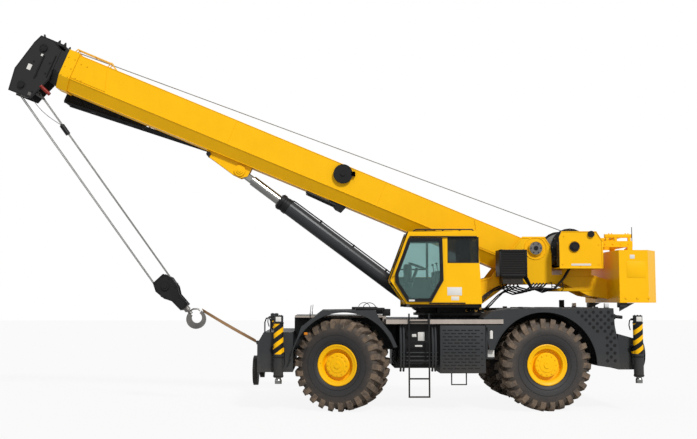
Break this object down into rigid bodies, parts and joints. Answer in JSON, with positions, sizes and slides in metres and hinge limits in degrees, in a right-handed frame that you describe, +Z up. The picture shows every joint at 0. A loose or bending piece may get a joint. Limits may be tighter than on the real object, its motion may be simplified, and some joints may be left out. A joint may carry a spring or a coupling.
{
  "type": "rough-terrain mobile crane",
  "caption": "Wheeled crane with outriggers, a slewing cab and counterweight, a telescopic boom raised by a cylinder, and a hook block on its ropes.",
  "frame": {"origin": "on the ground, below the middle of the bounding box", "axes": "+X forward to the boom head, +Y to the left side, +Z up"},
  "size_m": [14.1324, 3.802, 8.0988],
  "materials": {
    "yellow_paint": "satin",
    "carrier_grey": "satin",
    "deck_grey": "satin",
    "black_paint": "satin",
    "tyre_rubber": "matt",
    "steel": "machined",
    "chrome_rod": "polished",
    "seat_cloth": "woven"
  },
  "bodies": {
    "carrier": {"carrier_frame": "carrier_grey", "engine_block": "carrier_grey", "carrier_deck": "deck_grey", "front_fender_left": "carrier_grey", "front_fender_right": "carrier_grey", "rear_hood": "carrier_grey", "side_locker": "deck_grey", "hydraulic_tank": "black_paint", "fuel_tank": "carrier_grey", "ladder": "carrier_grey", "front_outrigger_box": "carrier_grey", "rear_outrigger_box": "carrier_grey", "floats_front": "black_paint", "floats_rear": "black_paint", "front_axle": "carrier_grey", "rear_axle": "carrier_grey", "slew_ring": "steel"},
    "upper_works": {"turntable_frame": "yellow_paint", "cab_shell": "yellow_paint", "cab_seat": "seat_cloth", "oil_cooler": "black_paint", "counterweight": "yellow_paint", "hoist_frame": "yellow_paint"},
    "cab_door": {"cab_door": "black_paint"},
    "hoist_drum": {"hoist_drum": "steel"},
    "boom_pivot_pin": {"boom_pivot_pin": "steel"},
    "boom": {"boom_base": "yellow_paint", "stowed_jib": "black_paint"},
    "boom_mid_inner": {"boom_mid_inner": "black_paint"},
    "boom_mid_outer": {"boom_mid_outer": "black_paint"},
    "boom_fly": {"boom_fly": "carrier_grey"},
    "lift_base_pin": {"lift_base_pin": "steel"},
    "lift_barrel": {"lift_barrel": "black_paint"},
    "lift_piston": {"lift_piston": "steel"},
    "lift_rod": {"lift_rod": "chrome_rod"},
    "rope_sheaves": {"lower_sheaves": "steel"},
    "hook_block": {"hook_block": "black_paint", "hook": "black_paint"},
    "beam_front_left": {"outrigger_beam_front_left": "carrier_grey"},
    "jack_front_left": {"jack_front_left": "chrome_rod"},
    "knuckle_front_left": {"knuckle_front_left": "carrier_grey"},
    "wheel_front_left": {"rim_front_left": "yellow_paint", "tyre_front_left": "tyre_rubber"},
    "beam_front_right": {"outrigger_beam_front_right": "carrier_grey"},
    "jack_front_right": {"jack_front_right": "chrome_rod"},
    "knuckle_front_right": {"knuckle_front_right": "carrier_grey"},
    "wheel_front_right": {"rim_front_right": "yellow_paint", "tyre_front_right": "tyre_rubber"},
    "beam_rear_left": {"outrigger_beam_rear_left": "carrier_grey"},
    "jack_rear_left": {"jack_rear_left": "chrome_rod"},
    "knuckle_rear_left": {"knuckle_rear_left": "carrier_grey"},
    "wheel_rear_left": {"rim_rear_left": "yellow_paint", "tyre_rear_left": "tyre_rubber"},
    "beam_rear_right": {"outrigger_beam_rear_right": "carrier_grey"},
    "jack_rear_right": {"jack_rear_right": "chrome_rod"},
    "knuckle_rear_right": {"knuckle_rear_right": "carrier_grey"},
    "wheel_rear_right": {"rim_rear_right": "yellow_paint", "tyre_rear_right": "tyre_rubber"}
  },
  "joints": [
    {"name": "slew", "type": "hinge", "parent": "carrier", "child": "upper_works", "pos_m": [-2.7662, 0, 1.93], "axis": [0, 0, 1], "continuous": true},
    {"name": "cab_door_slide", "type": "slide", "parent": "upper_works", "child": "cab_door", "axis": [-1, 0, 0], "range_m": [0, 0.7]},
    {"name": "hoist_drum_turn", "type": "hinge", "parent": "upper_works", "child": "hoist_drum", "pos_m": [-5.2362, 0, 3.39], "axis": [0, 1, 0], "continuous": true},
    {"name": "boom_lower", "type": "hinge", "parent": "upper_works", "child": "boom_pivot_pin", "pos_m": [-4.4962, 0, 3.38], "axis": [0, -1, 0], "range_deg": [-25.5, 0]},
    {"name": "boom_raise", "type": "hinge", "parent": "boom_pivot_pin", "child": "boom", "pos_m": [-4.4962, 0, 3.38], "axis": [0, -1, 0], "range_deg": [0, 55.5]},
    {"name": "telescope_inner", "type": "slide", "parent": "boom", "child": "boom_mid_inner", "axis": [0.9239, 0, 0.3827], "range_m": [0, 8.83]},
    {"name": "telescope_outer", "type": "slide", "parent": "boom_mid_inner", "child": "boom_mid_outer", "axis": [0.9239, 0, 0.3827], "range_m": [0, 8.83]},
    {"name": "telescope_fly", "type": "slide", "parent": "boom_mid_outer", "child": "boom_fly", "axis": [0.9239, 0, 0.3827], "range_m": [0, 8.83]},
    {"name": "lift_base_lower", "type": "hinge", "parent": "upper_works", "child": "lift_base_pin", "pos_m": [-1.9662, 0, 2.17], "axis": [0, -1, 0], "range_deg": [-36.97, 0]},
    {"name": "lift_base_raise", "type": "hinge", "parent": "lift_base_pin", "child": "lift_barrel", "pos_m": [-1.9662, 0, 2.17], "axis": [0, -1, 0], "range_deg": [0, 55.53]},
    {"name": "lift_rod_in", "type": "slide", "parent": "lift_barrel", "child": "lift_piston", "axis": [0.8012, 0, 0.5984], "range_m": [-0.86249, 0]},
    {"name": "lift_rod_out", "type": "slide", "parent": "lift_piston", "child": "lift_rod", "axis": [0.8012, 0, 0.5984], "range_m": [0, 2.61209]},
    {"name": "hook_swing", "type": "hinge", "parent": "boom_fly", "child": "rope_sheaves", "pos_m": [6.78061, 0, 6.99026], "axis": [0, 1, 0], "range_deg": [-60.3, 20.7]},
    {"name": "hook_hoist", "type": "slide", "parent": "rope_sheaves", "child": "hook_block", "axis": [-0.5864, 0, -0.81], "range_m": [-4.75, 0]},
    {"name": "beam_slide_front_left", "type": "slide", "parent": "carrier", "child": "beam_front_left", "axis": [0, 1, 0], "range_m": [0, 2.1]},
    {"name": "jack_front_left", "type": "slide", "parent": "beam_front_left", "child": "jack_front_left", "axis": [0, 0, -1], "range_m": [0, 0.65]},
    {"name": "steer_front_left", "type": "hinge", "parent": "carrier", "child": "knuckle_front_left", "pos_m": [-0.3062, 1.21, 0.935], "axis": [0, 0, 1], "range_deg": [-5, 45]},
    {"name": "wheel_turn_front_left", "type": "hinge", "parent": "knuckle_front_left", "child": "wheel_front_left", "pos_m": [-0.27884, 1.28517, 0.935], "axis": [0.342, 0.9397, 0], "continuous": true},
    {"name": "beam_slide_front_right", "type": "slide", "parent": "carrier", "child": "beam_front_right", "axis": [0, -1, 0], "range_m": [0, 2.1]},
    {"name": "jack_front_right", "type": "slide", "parent": "beam_front_right", "child": "jack_front_right", "axis": [0, 0, -1], "range_m": [0, 0.65]},
    {"name": "steer_front_right", "type": "hinge", "parent": "carrier", "child": "knuckle_front_right", "pos_m": [-0.3062, -1.21, 0.935], "axis": [0, 0, 1], "range_deg": [-5, 45]},
    {"name": "wheel_turn_front_right", "type": "hinge", "parent": "knuckle_front_right", "child": "wheel_front_right", "pos_m": [-0.33356, -1.28517, 0.935], "axis": [-0.342, -0.9397, 0], "continuous": true},
    {"name": "beam_slide_rear_left", "type": "slide", "parent": "carrier", "child": "beam_rear_left", "axis": [0, 1, 0], "range_m": [0, 2.1]},
    {"name": "jack_rear_left", "type": "slide", "parent": "beam_rear_left", "child": "jack_rear_left", "axis": [0, 0, -1], "range_m": [0, 0.65]},
    {"name": "steer_rear_left", "type": "hinge", "parent": "carrier", "child": "knuckle_rear_left", "pos_m": [-4.4062, 1.21, 0.935], "axis": [0, 0, 1], "range_deg": [-31, 19]},
    {"name": "wheel_turn_rear_left", "type": "hinge", "parent": "knuckle_rear_left", "child": "wheel_rear_left", "pos_m": [-4.41456, 1.28956, 0.935], "axis": [-0.1045, 0.9945, 0], "continuous": true},
    {"name": "beam_slide_rear_right", "type": "slide", "parent": "carrier", "child": "beam_rear_right", "axis": [0, -1, 0], "range_m": [0, 2.1]},
    {"name": "jack_rear_right", "type": "slide", "parent": "beam_rear_right", "child": "jack_rear_right", "axis": [0, 0, -1], "range_m": [0, 0.65]},
    {"name": "steer_rear_right", "type": "hinge", "parent": "carrier", "child": "knuckle_rear_right", "pos_m": [-4.4062, -1.21, 0.935], "axis": [0, 0, 1], "range_deg": [-31, 19]},
    {"name": "wheel_turn_rear_right", "type": "hinge", "parent": "knuckle_rear_right", "child": "wheel_rear_right", "pos_m": [-4.39784, -1.28956, 0.935], "axis": [0.1045, -0.9945, 0], "continuous": true}
  ],
  "couplings": [
    {"joint": "telescope_outer", "follows": "telescope_inner", "ratio": 1},
    {"joint": "telescope_fly", "follows": "telescope_inner", "ratio": 1},
    {"joint": "lift_base_lower", "follows": "boom_lower", "ratio": 1.4478},
    {"joint": "lift_base_raise", "follows": "boom_raise", "ratio": 0.99957},
    {"joint": "lift_rod_in", "follows": "boom_lower", "m_per_rad": 1.9368},
    {"joint": "lift_rod_out", "follows": "boom_raise", "m_per_rad": 2.6961},
    {"joint": "steer_front_right", "follows": "steer_front_left", "ratio": 1},
    {"joint": "steer_rear_right", "follows": "steer_rear_left", "ratio": 1}
  ]
}
